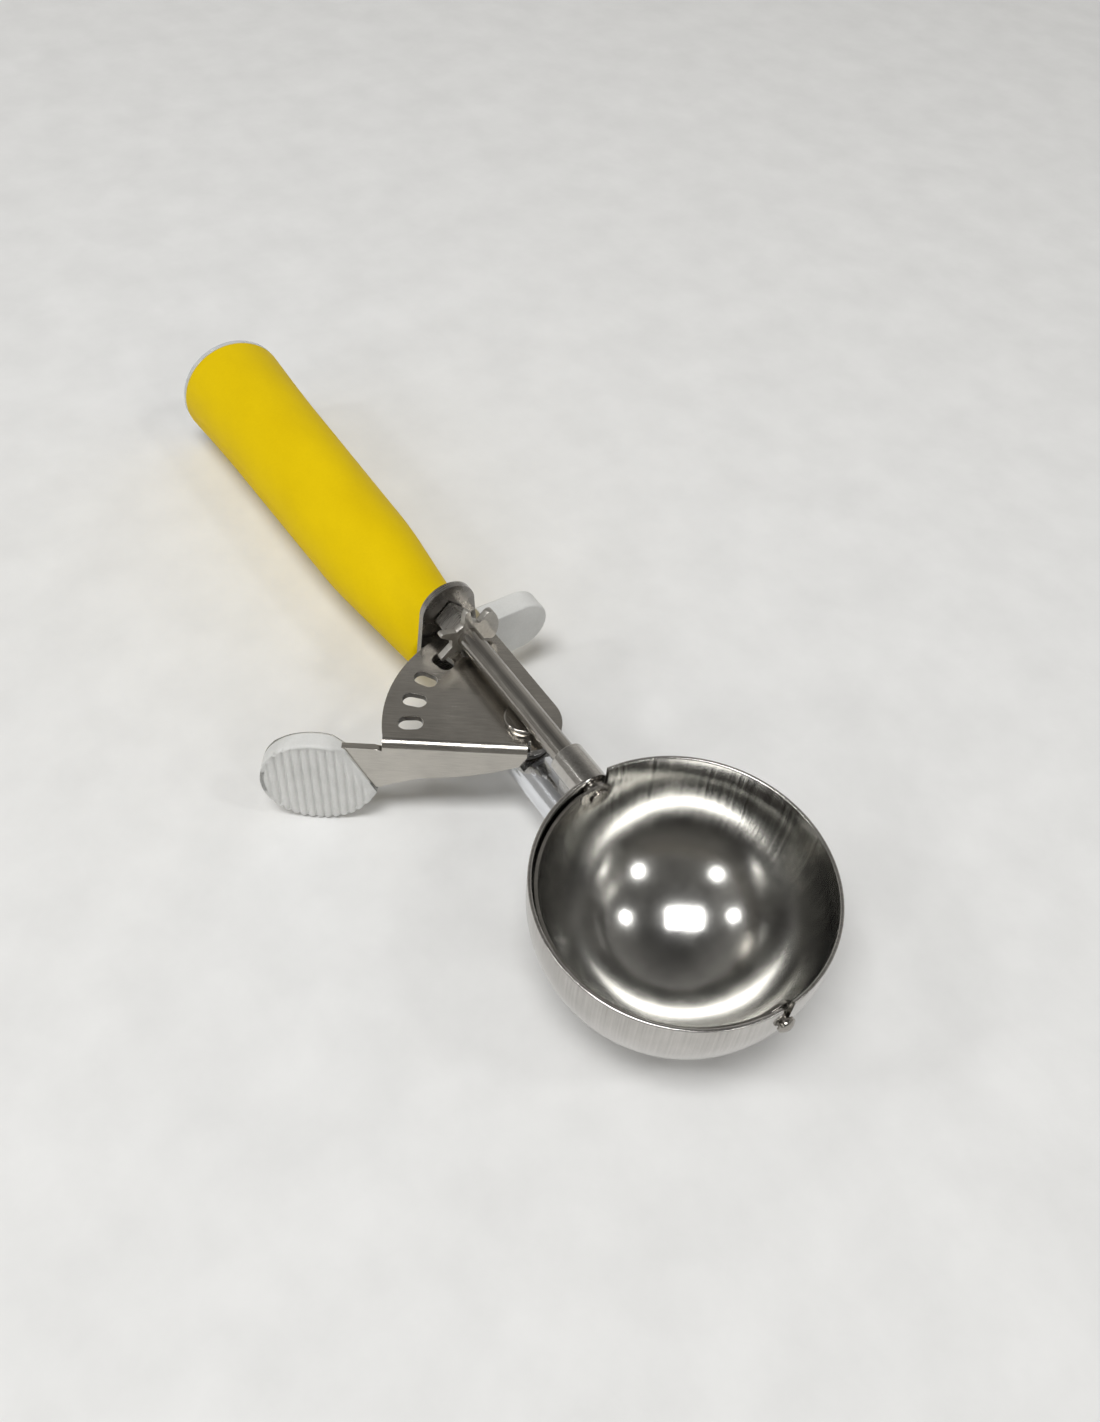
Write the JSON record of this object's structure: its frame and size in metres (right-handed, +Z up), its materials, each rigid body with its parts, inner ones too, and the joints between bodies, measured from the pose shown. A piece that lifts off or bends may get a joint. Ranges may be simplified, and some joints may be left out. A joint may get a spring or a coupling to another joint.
{
  "type": "lever ice cream scoop",
  "caption": "Portion scoop with a half-round steel bowl, a sweeping scraper blade turned by a slotted thumb lever and star pinion, and a tapered plastic handle.",
  "frame": {"origin": "middle of the footprint of the whole scoop as it lies on a table, on the table", "axes": "+X from the handle towards the bowl, +Y towards the finger rest, +Z up out of the bowl's mouth"},
  "size_m": [0.2278, 0.0783, 0.0363],
  "materials": {
    "bowl_steel": "stainless, polished inside, fine upright brush lines outside",
    "plate_steel": "stainless sheet, half bright, blanked edges",
    "rod_steel": "turned stainless rod, half bright",
    "shank_steel": "bright plated bar",
    "spring_steel": "drawn spring wire, dark",
    "yellow_plastic": "satin moulded plastic, bright yellow",
    "white_vinyl": "soft dipped vinyl, pale grey white, slightly translucent",
    "clear_plastic": "milky translucent plug"
  },
  "bodies": {
    "frame": {"bowl": "bowl_steel", "shank": "shank_steel", "front_bearing": "rod_steel", "frame_plate": "plate_steel", "finger_rest_cover": "white_vinyl", "pivot_rivet": "rod_steel", "pivot_washer": "plate_steel", "pivot_bush": "rod_steel", "return_spring": "spring_steel", "handle_grip": "yellow_plastic", "handle_end_cap": "clear_plastic"},
    "lever": {"thumb_lever": "plate_steel", "thumb_pad": "white_vinyl"},
    "scraper": {"spindle": "rod_steel", "pinion": "plate_steel", "pinion_collar": "plate_steel", "scraper_blade": "bowl_steel", "front_pin": "rod_steel"}
  },
  "joints": [
    {"name": "thumb_lever_pivot", "type": "hinge", "parent": "frame", "child": "lever", "pos_m": [0.03112, 0.01065, 0.02372], "axis": [0, 0, -1], "range_deg": [0, 42], "stiffness_Nm_per_rad": 0.15, "springref_deg": -28.65, "deforming": ["return_spring"]},
    {"name": "scraper_turn", "type": "hinge", "parent": "frame", "child": "scraper", "pos_m": [0.08361, 0.01065, 0.0285], "axis": [1, 0, 0], "range_deg": [0, 168]}
  ],
  "couplings": [
    {"joint": "scraper_turn", "follows": "thumb_lever_pivot", "ratio": 4}
  ]
}
